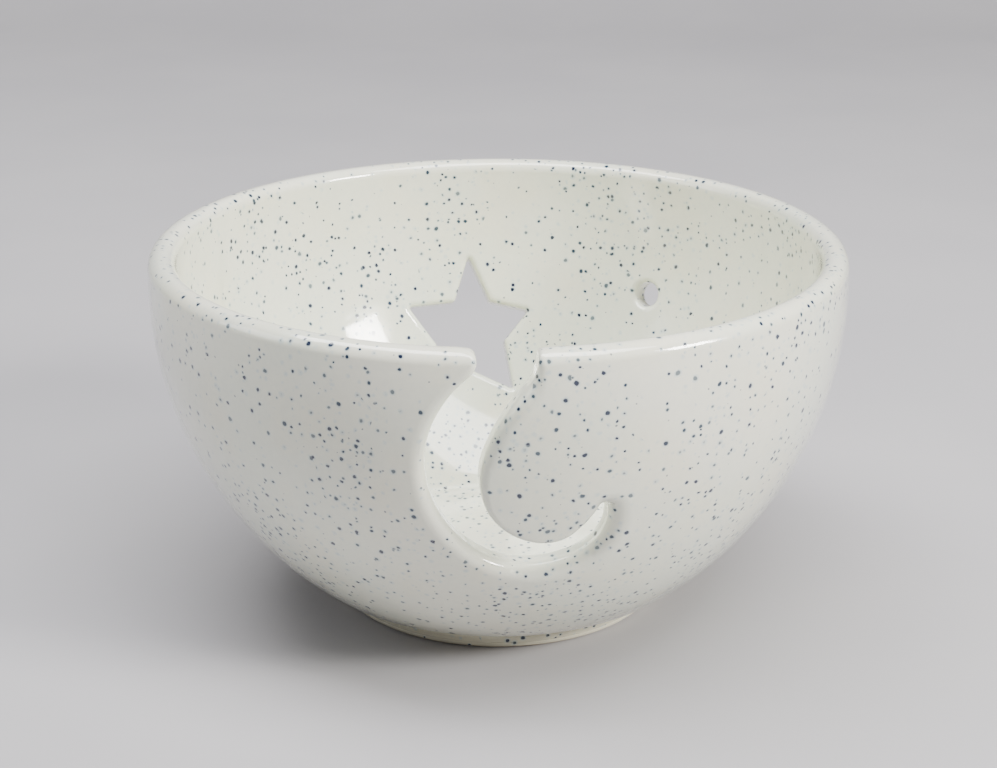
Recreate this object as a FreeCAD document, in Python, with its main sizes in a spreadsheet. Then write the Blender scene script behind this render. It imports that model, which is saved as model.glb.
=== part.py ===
import FreeCAD, Part
import math
import os
import Sketcher
from FreeCAD import Vector

# A stoneware yarn bowl, thrown, turned and pierced in one piece of clay. The four sub-parts are the
# potter's own zones of the pot, and they meet face to face: the turned foot ring, the floor inside it,
# the belly wall with its three cut-outs, and the rounded rim.
# Frame: origin at the centre of the circle that the foot stands on, +Z up, crescent slot towards -Y.

doc = FreeCAD.newDocument("yarn_bowl")

# ---------------------------------------------------------------- driving dimensions, mm and degrees
DIMENSIONS = {
    # bowl as a whole
    "total_height": 88,
    "widest_height": 79,
    "widest_radius": 82.5,
    # outside: a shallow arc from the rim down to the shoulder, and a tighter one under the belly
    "belly_arc": 91,
    "shoulder_angle": 45,
    "under_arc": 83,
    # inside: one arc, a little tighter, so the wall thickens from the rim to the floor
    "inner_widest_radius": 76.2,
    "inner_arc": 82.7,
    "floor_top": 8.5,
    "floor_fillet": 14,
    # heights where one zone passes into the next
    "wall_bottom": 12,
    "rim_bottom": 82,
    "lip_round": 3.0,
    # turned foot
    "foot_height": 7.2,
    "foot_standing_radius": 39.5,
    "foot_top_radius": 44.5,
    "foot_inner_radius": 33,
    "foot_edge_break": 0.6,
    "recess_depth": 3,
    # crescent slot: its outline is walked from the left of the mouth, round the horn, back up the tongue
    "slot_lean": 6,
    "slot_plane_y": 80.5,
    "slot_cut_length": 50,
    "mouth_left_x": -4.4,
    "mouth_top": 92,
    "neck_bottom": 86,
    "neck_arc": 5.5, "neck_turn": 48,
    "outer_upper_arc": 25.6, "outer_upper_turn": 57,
    "outer_side_arc": 30.8, "outer_side_turn": 42,
    "outer_bottom_arc": 18.7, "outer_bottom_turn": 69,
    "horn_arc": 11.6, "horn_turn": 74,
    "horn_tip_arc": 0.8, "horn_tip_turn": 135.5,
    "tongue_right_arc": 24.2, "tongue_right_turn": 20.5,
    "tongue_toe_arc": 8.7, "tongue_toe_turn": 51,
    "tongue_bottom_arc": 15.5, "tongue_bottom_turn": 55.5,
    "tongue_side_arc": 18.8, "tongue_side_turn": 40.5,
    "tongue_top_arc": 40.8, "tongue_top_turn": 23.5,
    "mouth_right_arc": 9.5, "mouth_right_turn": 38,
    # star: tips and notches by their reach from the star's centre and their angle from straight up
    "star_x": -8.6, "star_y": 67.3, "star_z": 43.6,
    "star_turn": 7,
    "star_tilt": 25,
    "star_cut_length": 30,
    "tip_top": 19.4, "tip_top_angle": 3.5,
    "notch_upper_right": 9.4, "notch_upper_right_angle": 45,
    "tip_right": 17.5, "tip_right_angle": 78,
    "notch_lower_right": 11, "notch_lower_right_angle": 113,
    "tip_lower_right": 21.5, "tip_lower_right_angle": 147,
    "notch_bottom": 12, "notch_bottom_angle": 178,
    "tip_lower_left": 21.5, "tip_lower_left_angle": 213,
    "notch_lower_left": 9.8, "notch_lower_left_angle": 240,
    "tip_left": 17, "tip_left_angle": 290,
    "notch_upper_left": 7.5, "notch_upper_left_angle": 336,
    # round hole that holds a crochet hook or a knitting needle
    "needle_x": 39.8, "needle_y": 60.5, "needle_z": 55,
    "needle_turn": -33.5,
    "needle_tilt": 16.5,
    "needle_radius": 3.25,
    "needle_cut_length": 24,
}

sheet = doc.addObject("Spreadsheet::Sheet", "Dims")
for row, (alias, number) in enumerate(DIMENSIONS.items(), start=1):
    sheet.set(f"A{row}", alias.replace("_", " "))
    sheet.set(f"B{row}", str(number))
    sheet.setAlias(f"B{row}", alias)
doc.recompute()


def dim(alias):
    """The number now in the sheet's cell of this name."""
    return float(sheet.get(alias))


# ---------------------------------------------------------------- helpers for bodies and sketches
START, END, CENTRE = 1, 2, 3
ORIGIN_POINT = (-1, 1)


def new_body(label):
    body = doc.addObject("PartDesign::Body", label)
    body.Label = label
    body.Placement = FreeCAD.Placement()
    return body


def origin_plane(body, role):
    return next(feature for feature in body.Origin.OriginFeatures if feature.Role == role)


def front_sketch(body, name):
    """A sketch on the body's XZ plane: its x is the row's X, its y is Z and its normal is -Y."""
    sketch = body.newObject("Sketcher::SketchObject", name)
    sketch.AttachmentSupport = [(origin_plane(body, "XZ_Plane"), "")]
    sketch.MapMode = "FlatFace"
    return sketch


def bind(sketch, kind, arguments, alias_or_expression):
    """Adds one dimension to a sketch and drives it from the sheet."""
    is_alias = alias_or_expression in DIMENSIONS
    expression = f"Dims.{alias_or_expression}" if is_alias else alias_or_expression
    if kind == "Angle":
        expression = f"({expression}) * 1deg"
    index = sketch.addConstraint(Sketcher.Constraint(kind, *arguments))
    name = f"d{index}"
    sketch.renameConstraint(index, name)
    sketch.setExpression(f"Constraints.{name}", expression)
    return index


def close_loop(sketch, ends):
    """Joins each (curve, end point) of the loop to the next curve's start."""
    for (curve, at), (next_curve, next_at) in ends:
        sketch.addConstraint(Sketcher.Constraint("Coincident", curve, at, next_curve, next_at))


def point_at(sketch, curve, at, x_rule, y_rule, x_now, y_now):
    bind(sketch, "DistanceX", (*ORIGIN_POINT, curve, at, x_now), x_rule)
    bind(sketch, "DistanceY", (*ORIGIN_POINT, curve, at, y_now), y_rule)


def revolve(body, sketch, name):
    feature = body.newObject("PartDesign::Revolution", name)
    feature.Profile = sketch
    feature.ReferenceAxis = (sketch, ["V_Axis"])
    feature.Angle = 360
    doc.recompute()
    return feature


def polygon_sketch(sketch, corners):
    """A closed outline of straight edges through corners given as (x expression, y expression, x, y)."""
    count = len(corners)
    for index, corner in enumerate(corners):
        after = corners[(index + 1) % count]
        line = Part.LineSegment(Vector(corner[2], corner[3], 0), Vector(after[2], after[3], 0))
        sketch.addGeometry(line)
    for index in range(count):
        sketch.addConstraint(Sketcher.Constraint("Coincident", index, END, (index + 1) % count, START))
    for index, (x_rule, y_rule, x_now, y_now) in enumerate(corners):
        point_at(sketch, index, START, x_rule, y_rule, x_now, y_now)


def cut_away(body, sketch, length_alias, name):
    """A pocket both ways from the sketch, checked to remove clay."""
    before = body.Shape.Volume
    pocket = body.newObject("PartDesign::Pocket", name)
    pocket.Profile = sketch
    pocket.Midplane = True
    pocket.setExpression("Length", f"Dims.{length_alias}")
    doc.recompute()
    removed = before - body.Shape.Volume
    print(f"{name}: removes {removed:.0f} mm3")
    if removed < 1:
        raise RuntimeError(f"{name} cuts nothing")


# ---------------------------------------------------------------- the bowl's section
def circle_x(centre_x, centre_z, radius, height):
    """Where a circle of the section is at this height, on the side away from the axis."""
    return centre_x + math.sqrt(radius ** 2 - (height - centre_z) ** 2)


SHOULDER = math.radians(dim("shoulder_angle"))
BELLY_X = dim("widest_radius") - dim("belly_arc")
BELLY_Z = dim("widest_height")
UNDER_X = BELLY_X + (dim("belly_arc") - dim("under_arc")) * math.cos(SHOULDER)
UNDER_Z = BELLY_Z - (dim("belly_arc") - dim("under_arc")) * math.sin(SHOULDER)
INNER_X = dim("inner_widest_radius") - dim("inner_arc")

BELLY_X_RULE = "Dims.widest_radius - Dims.belly_arc"
UNDER_X_RULE = BELLY_X_RULE + " + (Dims.belly_arc - Dims.under_arc) * cos(Dims.shoulder_angle * 1deg)"
UNDER_Z_RULE = "Dims.widest_height - (Dims.belly_arc - Dims.under_arc) * sin(Dims.shoulder_angle * 1deg)"
INNER_X_RULE = "Dims.inner_widest_radius - Dims.inner_arc"


def section_arc(centre_x, centre_z, radius, low_point, high_point):
    low_angle = math.atan2(low_point[1] - centre_z, low_point[0] - centre_x)
    high_angle = math.atan2(high_point[1] - centre_z, high_point[0] - centre_x)
    circle = Part.Circle(Vector(centre_x, centre_z, 0), Vector(0, 0, 1), radius)
    return Part.ArcOfCircle(circle, low_angle, high_angle)


def outer_point(height):
    shoulder_z = BELLY_Z - dim("belly_arc") * math.sin(SHOULDER)
    if height < shoulder_z:
        return circle_x(UNDER_X, UNDER_Z, dim("under_arc"), height), height
    return circle_x(BELLY_X, BELLY_Z, dim("belly_arc"), height), height


def inner_point(height):
    return circle_x(INNER_X, BELLY_Z, dim("inner_arc"), height), height


def drive_arc(sketch, curve, x_rule, z_rule, radius_alias, centre_now):
    bind(sketch, "Radius", (curve, dim(radius_alias)), radius_alias)
    point_at(sketch, curve, CENTRE, x_rule, z_rule, *centre_now)


def height_of(sketch, curve, at, alias):
    bind(sketch, "DistanceY", (*ORIGIN_POINT, curve, at, dim(alias)), alias)


# ---------------------------------------------------------------- foot ring
def make_foot_ring():
    body = new_body("foot_ring")
    sketch = front_sketch(body, "foot_section")
    inner, standing, top = dim("foot_inner_radius"), dim("foot_standing_radius"), dim("foot_top_radius")
    edge, height = dim("foot_edge_break"), dim("foot_height")
    polygon_sketch(sketch, [
        ("Dims.foot_inner_radius", "Dims.foot_edge_break", inner, edge),
        ("Dims.foot_inner_radius + Dims.foot_edge_break", "0", inner + edge, 0),
        ("Dims.foot_standing_radius - Dims.foot_edge_break", "0", standing - edge, 0),
        ("Dims.foot_standing_radius", "Dims.foot_edge_break", standing, edge),
        ("Dims.foot_top_radius", "Dims.foot_height", top, height),
        ("Dims.foot_inner_radius", "Dims.foot_height", inner, height),
    ])
    revolve(body, sketch, "foot_turned")
    return body


# ---------------------------------------------------------------- floor of the bowl
def make_bowl_floor():
    body = new_body("bowl_floor")
    sketch = front_sketch(body, "floor_section")
    foot_in, recess, foot_top = dim("foot_inner_radius"), dim("recess_depth"), dim("foot_height")
    split, floor_top, fillet = dim("wall_bottom"), dim("floor_top"), dim("floor_fillet")
    under_start, under_end = outer_point(foot_top), outer_point(split)
    inner_end = inner_point(split)
    # the fillet touches the flat floor and, from inside, the inner arc
    fillet_z = floor_top + fillet
    centre_gap = dim("inner_arc") - fillet
    fillet_x = INNER_X + math.sqrt(centre_gap ** 2 - (BELLY_Z - fillet_z) ** 2)
    touch_x = INNER_X + (fillet_x - INNER_X) * dim("inner_arc") / centre_gap
    touch_z = BELLY_Z + (fillet_z - BELLY_Z) * dim("inner_arc") / centre_gap

    def line(start, end):
        return Part.LineSegment(Vector(*start, 0), Vector(*end, 0))

    axis_low, recess_edge, step = (0, recess), (foot_in, recess), (foot_in, foot_top)
    fillet_foot, axis_high = (fillet_x, floor_top), (0, floor_top)
    curves = [
        line(axis_low, recess_edge),
        line(recess_edge, step),
        line(step, under_start),
        section_arc(UNDER_X, UNDER_Z, dim("under_arc"), under_start, under_end),
        line(under_end, inner_end),
        section_arc(INNER_X, BELLY_Z, dim("inner_arc"), (touch_x, touch_z), inner_end),
        section_arc(fillet_x, fillet_z, fillet, fillet_foot, (touch_x, touch_z)),
        line(fillet_foot, axis_high),
        line(axis_high, axis_low),
    ]
    sketch.addGeometry(curves, False)
    recess_line, step_line, under_line, under, split_line, inner, round_in, top_line, axis_line = range(9)
    close_loop(sketch, [
        ((recess_line, END), (step_line, START)),
        ((step_line, END), (under_line, START)),
        ((under_line, END), (under, START)),
        ((under, END), (split_line, START)),
        ((split_line, END), (inner, END)),
        ((top_line, END), (axis_line, START)),
        ((axis_line, END), (recess_line, START)),
    ])
    sketch.addConstraint(Sketcher.Constraint("Tangent", inner, START, round_in, END))
    sketch.addConstraint(Sketcher.Constraint("Tangent", round_in, START, top_line, START))
    for flat in (recess_line, under_line, split_line, top_line):
        sketch.addConstraint(Sketcher.Constraint("Horizontal", flat))
    sketch.addConstraint(Sketcher.Constraint("Vertical", step_line))
    sketch.addConstraint(Sketcher.Constraint("PointOnObject", axis_line, START, -2))
    sketch.addConstraint(Sketcher.Constraint("PointOnObject", axis_line, END, -2))
    drive_arc(sketch, under, UNDER_X_RULE, UNDER_Z_RULE, "under_arc", (UNDER_X, UNDER_Z))
    drive_arc(sketch, inner, INNER_X_RULE, "widest_height", "inner_arc", (INNER_X, BELLY_Z))
    bind(sketch, "Radius", (round_in, fillet), "floor_fillet")
    bind(sketch, "DistanceX", (*ORIGIN_POINT, step_line, START, foot_in), "foot_inner_radius")
    height_of(sketch, recess_line, END, "recess_depth")
    height_of(sketch, step_line, END, "foot_height")
    height_of(sketch, under, END, "wall_bottom")
    height_of(sketch, axis_line, START, "floor_top")
    revolve(body, sketch, "floor_turned")
    return body


# ---------------------------------------------------------------- belly wall
def make_bowl_wall():
    body = new_body("bowl_wall")
    sketch = front_sketch(body, "wall_section")
    low, high = dim("wall_bottom"), dim("rim_bottom")
    shoulder_x = BELLY_X + dim("belly_arc") * math.cos(SHOULDER)
    shoulder_z = BELLY_Z - dim("belly_arc") * math.sin(SHOULDER)
    shoulder = (shoulder_x, shoulder_z)
    outer_low, outer_high = outer_point(low), outer_point(high)
    inner_low, inner_high = inner_point(low), inner_point(high)
    curves = [
        section_arc(UNDER_X, UNDER_Z, dim("under_arc"), outer_low, shoulder),
        section_arc(BELLY_X, BELLY_Z, dim("belly_arc"), shoulder, outer_high),
        Part.LineSegment(Vector(*outer_high, 0), Vector(*inner_high, 0)),
        section_arc(INNER_X, BELLY_Z, dim("inner_arc"), inner_low, inner_high),
        Part.LineSegment(Vector(*inner_low, 0), Vector(*outer_low, 0)),
    ]
    sketch.addGeometry(curves, False)
    under, belly, top_line, inner, bottom_line = range(5)
    close_loop(sketch, [
        ((under, END), (belly, START)),
        ((belly, END), (top_line, START)),
        ((top_line, END), (inner, END)),
        ((inner, START), (bottom_line, START)),
        ((bottom_line, END), (under, START)),
    ])
    sketch.addConstraint(Sketcher.Constraint("Horizontal", top_line))
    sketch.addConstraint(Sketcher.Constraint("Horizontal", bottom_line))
    drive_arc(sketch, belly, BELLY_X_RULE, "widest_height", "belly_arc", (BELLY_X, BELLY_Z))
    drive_arc(sketch, inner, INNER_X_RULE, "widest_height", "inner_arc", (INNER_X, BELLY_Z))
    point_at(sketch, under, CENTRE, UNDER_X_RULE, UNDER_Z_RULE, UNDER_X, UNDER_Z)
    shoulder_rule = "Dims.widest_height - Dims.belly_arc * sin(Dims.shoulder_angle * 1deg)"
    bind(sketch, "DistanceY", (*ORIGIN_POINT, belly, START, shoulder_z), shoulder_rule)
    height_of(sketch, under, START, "wall_bottom")
    height_of(sketch, belly, END, "rim_bottom")
    revolve(body, sketch, "wall_turned")
    return body


# ---------------------------------------------------------------- rounded rim
def make_rim():
    body = new_body("rim")
    sketch = front_sketch(body, "rim_section")
    low, high = dim("rim_bottom"), dim("total_height")
    outer_low, outer_high = outer_point(low), outer_point(high)
    inner_low, inner_high = inner_point(low), inner_point(high)
    curves = [
        section_arc(BELLY_X, BELLY_Z, dim("belly_arc"), outer_low, outer_high),
        Part.LineSegment(Vector(*outer_high, 0), Vector(*inner_high, 0)),
        section_arc(INNER_X, BELLY_Z, dim("inner_arc"), inner_low, inner_high),
        Part.LineSegment(Vector(*inner_low, 0), Vector(*outer_low, 0)),
    ]
    sketch.addGeometry(curves, False)
    belly, top_line, inner, bottom_line = range(4)
    close_loop(sketch, [
        ((belly, END), (top_line, START)),
        ((top_line, END), (inner, END)),
        ((inner, START), (bottom_line, START)),
        ((bottom_line, END), (belly, START)),
    ])
    sketch.addConstraint(Sketcher.Constraint("Horizontal", top_line))
    sketch.addConstraint(Sketcher.Constraint("Horizontal", bottom_line))
    drive_arc(sketch, belly, BELLY_X_RULE, "widest_height", "belly_arc", (BELLY_X, BELLY_Z))
    drive_arc(sketch, inner, INNER_X_RULE, "widest_height", "inner_arc", (INNER_X, BELLY_Z))
    height_of(sketch, belly, START, "rim_bottom")
    height_of(sketch, belly, END, "total_height")
    turned = revolve(body, sketch, "rim_turned")

    # the two top edges of the lip are rounded over
    def at_top(edge):
        return abs(edge.BoundBox.ZMin - high) < 0.01 and abs(edge.BoundBox.ZMax - high) < 0.01

    top_edges = [f"Edge{number}" for number, edge in enumerate(turned.Shape.Edges, start=1) if at_top(edge)]
    lip = body.newObject("PartDesign::Fillet", "lip_rounding")
    lip.Base = (turned, top_edges)
    lip.setExpression("Radius", "Dims.lip_round")
    doc.recompute()
    return body


# ---------------------------------------------------------------- cut-outs
def tilted_sketch(body, name, base_rule, turn_rule, tilt_rule):
    """A sketch that stands on the XZ plane, moved, turned about Z and then tipped about its own x."""
    sketch = front_sketch(body, name)
    turn = f"rotation(vector(0; 1; 0); {turn_rule})"
    tilt = f"rotation(vector(1; 0; 0); {tilt_rule})"
    sketch.setExpression("AttachmentOffset", f"placement(vector({base_rule}); {turn} * {tilt})")
    doc.recompute()
    return sketch


LEFT_TURN, RIGHT_TURN = 1, -1
SLOT_WALK = [
    ("neck", RIGHT_TURN),
    ("outer_upper", LEFT_TURN),
    ("outer_side", LEFT_TURN),
    ("outer_bottom", LEFT_TURN),
    ("horn", LEFT_TURN),
    ("horn_tip", LEFT_TURN),
    ("tongue_right", RIGHT_TURN),
    ("tongue_toe", RIGHT_TURN),
    ("tongue_bottom", RIGHT_TURN),
    ("tongue_side", RIGHT_TURN),
    ("tongue_top", RIGHT_TURN),
    ("mouth_right", LEFT_TURN),
]


def crescent_sketch(body):
    """The crescent's outline: tangent arcs, each with its own radius and turn, between two straight sides."""
    sketch = tilted_sketch(body, "crescent", "0; 0; Dims.slot_plane_y", "Dims.slot_lean", "0")
    here = Vector(dim("mouth_left_x"), dim("mouth_top"), 0)
    neck = Vector(here.x, dim("neck_bottom"), 0)
    first = sketch.addGeometry(Part.LineSegment(here, neck))
    sketch.addConstraint(Sketcher.Constraint("Vertical", first))
    point_at(sketch, first, START, "mouth_left_x", "mouth_top", here.x, here.y)
    height_of(sketch, first, END, "neck_bottom")
    previous = (first, END)
    heading = math.radians(-90)
    here = neck
    for stretch, side in SLOT_WALK:
        radius = dim(f"{stretch}_arc")
        turn = math.radians(dim(f"{stretch}_turn"))
        centre = here + Vector(-math.sin(heading), math.cos(heading), 0) * side * radius
        from_angle = math.atan2(here.y - centre.y, here.x - centre.x)
        to_angle = from_angle + side * turn
        low, high = sorted((from_angle, to_angle))
        arc = sketch.addGeometry(Part.ArcOfCircle(Part.Circle(centre, Vector(0, 0, 1), radius), low, high))
        enter, leave = (START, END) if side == LEFT_TURN else (END, START)
        sketch.addConstraint(Sketcher.Constraint("Tangent", *previous, arc, enter))
        bind(sketch, "Radius", (arc, radius), f"{stretch}_arc")
        bind(sketch, "Angle", (arc, turn), f"{stretch}_turn")
        here = centre + Vector(math.cos(to_angle), math.sin(to_angle), 0) * radius
        heading += side * turn
        previous = (arc, leave)
    rise = dim("mouth_top") - here.y
    top_right = here + Vector(rise / math.tan(heading), rise, 0)
    last = sketch.addGeometry(Part.LineSegment(here, top_right))
    sketch.addConstraint(Sketcher.Constraint("Tangent", *previous, last, START))
    lid = sketch.addGeometry(Part.LineSegment(top_right, Vector(dim("mouth_left_x"), dim("mouth_top"), 0)))
    sketch.addConstraint(Sketcher.Constraint("Coincident", last, END, lid, START))
    sketch.addConstraint(Sketcher.Constraint("Coincident", lid, END, first, START))
    sketch.addConstraint(Sketcher.Constraint("Horizontal", lid))
    return sketch


STAR_CORNERS = [
    "tip_top", "notch_upper_right", "tip_right", "notch_lower_right", "tip_lower_right",
    "notch_bottom", "tip_lower_left", "notch_lower_left", "tip_left", "notch_upper_left",
]


def star_sketch(body):
    place = "Dims.star_x; Dims.star_z; -Dims.star_y"
    sketch = tilted_sketch(body, "star", place, "Dims.star_turn", "-Dims.star_tilt")
    corners = []
    for corner in STAR_CORNERS:
        reach, angle = dim(corner), math.radians(dim(f"{corner}_angle"))
        x_rule = f"Dims.{corner} * sin(Dims.{corner}_angle * 1deg)"
        y_rule = f"Dims.{corner} * cos(Dims.{corner}_angle * 1deg)"
        corners.append((x_rule, y_rule, reach * math.sin(angle), reach * math.cos(angle)))
    polygon_sketch(sketch, corners)
    return sketch


def needle_sketch(body):
    place = "Dims.needle_x; Dims.needle_z; -Dims.needle_y"
    sketch = tilted_sketch(body, "needle", place, "Dims.needle_turn", "-Dims.needle_tilt")
    circle = Part.Circle(Vector(0, 0, 0), Vector(0, 0, 1), dim("needle_radius"))
    ring = sketch.addGeometry(circle)
    sketch.addConstraint(Sketcher.Constraint("Coincident", ring, CENTRE, *ORIGIN_POINT))
    bind(sketch, "Radius", (ring, dim("needle_radius")), "needle_radius")
    return sketch


# ---------------------------------------------------------------- build, check and write
foot_ring = make_foot_ring()
bowl_floor = make_bowl_floor()
bowl_wall = make_bowl_wall()
rim = make_rim()
for pierced in (bowl_wall, rim):
    cut_away(pierced, crescent_sketch(pierced), "slot_cut_length", f"{pierced.Label}_crescent_cut")
cut_away(bowl_wall, star_sketch(bowl_wall), "star_cut_length", "star_cut")
cut_away(bowl_wall, needle_sketch(bowl_wall), "needle_cut_length", "needle_hole_cut")

doc.recompute()
for thing in doc.Objects:
    if {"Invalid", "Error"} & set(thing.State):
        raise RuntimeError(f"{thing.Label} did not compute: {thing.State}")

os.makedirs("parts", exist_ok=True)
for node in (foot_ring, bowl_floor, bowl_wall, rim):
    shape = node.Shape
    if shape.isNull() or not shape.isValid() or len(shape.Solids) != 1:
        raise RuntimeError(f"{node.Label} is not one valid solid")
    box = shape.BoundBox
    print(f"{node.Label}: {shape.Volume / 1000:.1f} cm3, z {box.ZMin:.2f} to {box.ZMax:.2f},"
          f" x {box.XMin:.2f} to {box.XMax:.2f}, y {box.YMin:.2f} to {box.YMax:.2f}")
    shape.exportStep(f"parts/{node.Label}.step")
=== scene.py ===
# %% [markdown]
# # A pierced, speckle-glazed yarn bowl
#
# A yarn bowl holds a ball of yarn while somebody knits. The strand runs out through a slot in the wall,
# here a crescent moon that is open at the rim, and the curl of the crescent keeps the strand from jumping
# out. A star lets light through the back wall, and a round hole parks a hook or a needle.
#
# The real bowl is one piece of clay. It is thrown on a wheel, turned at the foot, pierced with a knife
# while the clay is as firm as leather, sponged so that no edge is sharp, fired, dipped in a white glaze
# with dark blue specks, and fired again. This script goes through the same steps in the same order.
#
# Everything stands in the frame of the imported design: metres, +Z up, the origin at the centre of the
# circle that the foot stands on, and the slot towards -Y.

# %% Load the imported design
import math

import bmesh
import bpy
import numpy as np
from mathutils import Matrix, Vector
from mathutils.geometry import delaunay_2d_cdt


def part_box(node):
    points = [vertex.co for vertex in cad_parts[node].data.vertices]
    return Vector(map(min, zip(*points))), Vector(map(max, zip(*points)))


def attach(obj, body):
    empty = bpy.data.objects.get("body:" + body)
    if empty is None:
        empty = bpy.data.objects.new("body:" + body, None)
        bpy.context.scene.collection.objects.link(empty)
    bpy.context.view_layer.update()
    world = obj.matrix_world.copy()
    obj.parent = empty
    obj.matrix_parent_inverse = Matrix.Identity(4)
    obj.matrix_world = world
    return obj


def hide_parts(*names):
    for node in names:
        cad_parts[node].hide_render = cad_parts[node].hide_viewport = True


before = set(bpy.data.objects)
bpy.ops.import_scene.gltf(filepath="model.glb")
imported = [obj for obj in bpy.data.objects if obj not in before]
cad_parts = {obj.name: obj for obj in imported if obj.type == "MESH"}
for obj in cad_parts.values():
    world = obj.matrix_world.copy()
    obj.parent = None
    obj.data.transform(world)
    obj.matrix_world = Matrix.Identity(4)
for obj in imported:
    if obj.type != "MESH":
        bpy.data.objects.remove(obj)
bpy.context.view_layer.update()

MM = 0.001
rim_low, rim_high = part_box("rim")
wall_low, wall_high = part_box("bowl_wall")

# %% [markdown]
# ## The section of the pot
#
# A wheel-thrown pot is a surface of revolution, so one drawing settles its whole form: half of a vertical
# cut through the pot. Here that section is made of arcs, as a potter's rib would leave it. The outside is
# a wide arc down from the rim and a tighter one under the belly. The inside is one arc that runs a little
# closer, so that the wall thickens from 6 mm at the lip to 7 mm near the floor.
#
# Sizes are in millimetres while the pot is worked on, because that is how a potter thinks of them, and
# the finished pieces are scaled to metres.

# %% The section's dimensions
TOTAL_HEIGHT = rim_high[2] / MM
WALL_BOTTOM = wall_low[2] / MM
RIM_BOTTOM = rim_low[2] / MM
WIDEST_RADIUS = wall_high[0] / MM
WIDEST_HEIGHT = 79.0
BELLY_ARC = 91.0
SHOULDER_ANGLE = math.radians(45)
UNDER_ARC = 83.0
INNER_WIDEST_RADIUS = 76.2
INNER_ARC = 82.7
FLOOR_TOP = 8.5
FLOOR_FILLET = 14.0
LIP_ROUND = 3.0

belly_centre = np.array([WIDEST_RADIUS - BELLY_ARC, WIDEST_HEIGHT])
arc_step = (BELLY_ARC - UNDER_ARC) * np.array([math.cos(SHOULDER_ANGLE), -math.sin(SHOULDER_ANGLE)])
under_centre = belly_centre + arc_step
inner_centre = np.array([INNER_WIDEST_RADIUS - INNER_ARC, WIDEST_HEIGHT])
print("section: outside arcs", BELLY_ARC, "and", UNDER_ARC, "mm, inside arc", INNER_ARC, "mm")


# %% [markdown]
# A formula that gives the distance of any point from the clay's surface, negative inside the clay, is the
# most useful description of the section. It gives the surface, as the points where the distance is 0, and
# the surface's direction, as the way in which the distance grows fastest. Two surfaces that meet in an
# edge are joined by the larger of their distances, and `soft_max` rounds that edge to a chosen radius, as
# a wet sponge does.

# %% Distance from the clay
def soft_max(first, second, radius):
    """The larger of two distances, with the edge between the two surfaces rounded to a radius."""
    over_first = np.maximum(radius + first, 0)
    over_second = np.maximum(radius + second, 0)
    return np.minimum(-radius, np.maximum(first, second)) + np.hypot(over_first, over_second)


def outside_distance(r, z):
    from_belly = np.hypot(r - belly_centre[0], z - belly_centre[1]) - BELLY_ARC
    from_under = np.hypot(r - under_centre[0], z - under_centre[1]) - UNDER_ARC
    below_shoulder = np.arctan2(belly_centre[1] - z, r - belly_centre[0]) > SHOULDER_ANGLE
    return np.where(below_shoulder, from_under, from_belly)


def inside_distance(r, z):
    return INNER_ARC - np.hypot(r - inner_centre[0], z - inner_centre[1])


def turned_distance(points):
    """Distance from the thrown wall and its rounded lip, before anything is cut out of it."""
    r = np.hypot(points[..., 0], points[..., 1])
    z = points[..., 2]
    outside = soft_max(outside_distance(r, z), z - TOTAL_HEIGHT, LIP_ROUND)
    return soft_max(outside, inside_distance(r, z), LIP_ROUND)


# %% [markdown]
# ## The three cut-outs
#
# The crescent is drawn as a walk: go straight down from the mouth, then follow one arc after another, each
# with its radius and the angle that it turns. Because each arc starts in the direction in which the last
# one ended, the outline has no corners, and fifteen short stretches hold the whole curl. Points typed in by
# hand would be more numbers and a lumpier line.

# %% Walk an outline made of arcs
LEFT, RIGHT = 1, -1


def walk(start, heading, stretches, spacing, first_softness):
    """Points along straight runs (length, 0, softness) and arcs (radius, turn, softness). A left turn is
    positive, the points stand closer on small arcs, and the softness is the one at the stretch's end."""
    here = np.array(start, float)
    heading = math.radians(heading)
    points, softnesses = [here], [first_softness]
    for size, turn, softness_after in stretches:
        ahead = np.array([math.cos(heading), math.sin(heading)])
        if turn == 0:
            count = max(1, round(size / spacing))
            points.extend(here + ahead * size * step / count for step in range(1, count + 1))
        else:
            side = math.copysign(1, turn)
            angle = math.radians(abs(turn))
            centre = here + side * size * np.array([-ahead[1], ahead[0]])
            count = math.ceil(size * angle / min(spacing, size * 0.18))
            spoke = here - centre
            for step in range(1, count + 1):
                swing = side * angle * step / count
                turned = np.array([spoke[0] * math.cos(swing) - spoke[1] * math.sin(swing),
                                   spoke[0] * math.sin(swing) + spoke[1] * math.cos(swing)])
                points.append(centre + turned)
            heading += side * angle
        here = points[-1]
        softnesses += np.linspace(softnesses[-1], softness_after, count + 1)[1:].tolist()
    return np.array(points), np.array(softnesses), math.degrees(heading)


# %% [markdown]
# The knife went through the wall level, leaning 6 degrees to the left as it went in. So the crescent is
# drawn on an upright plane in front of the slot and pushed through the wall along that lean. The corners
# where the slot meets the top of the lip are rounded like a nose, which is where the strand slides in. The
# third number of each stretch says how softly the outer edge is sponged at the stretch's end: broadly along
# the outside of the crescent and round the horn, and crisply under the tongue.

# %% The crescent's outline
SLOT_LEAN = math.radians(6)
SLOT_PLANE_Y = -80.5
MOUTH_LEFT = -4.4
NECK_TOP = 86.0
NOSE_ARC = 2.2
NOSE_TURN = 74
LEFT_NOSE_HEADING = -90 + NOSE_TURN

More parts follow.
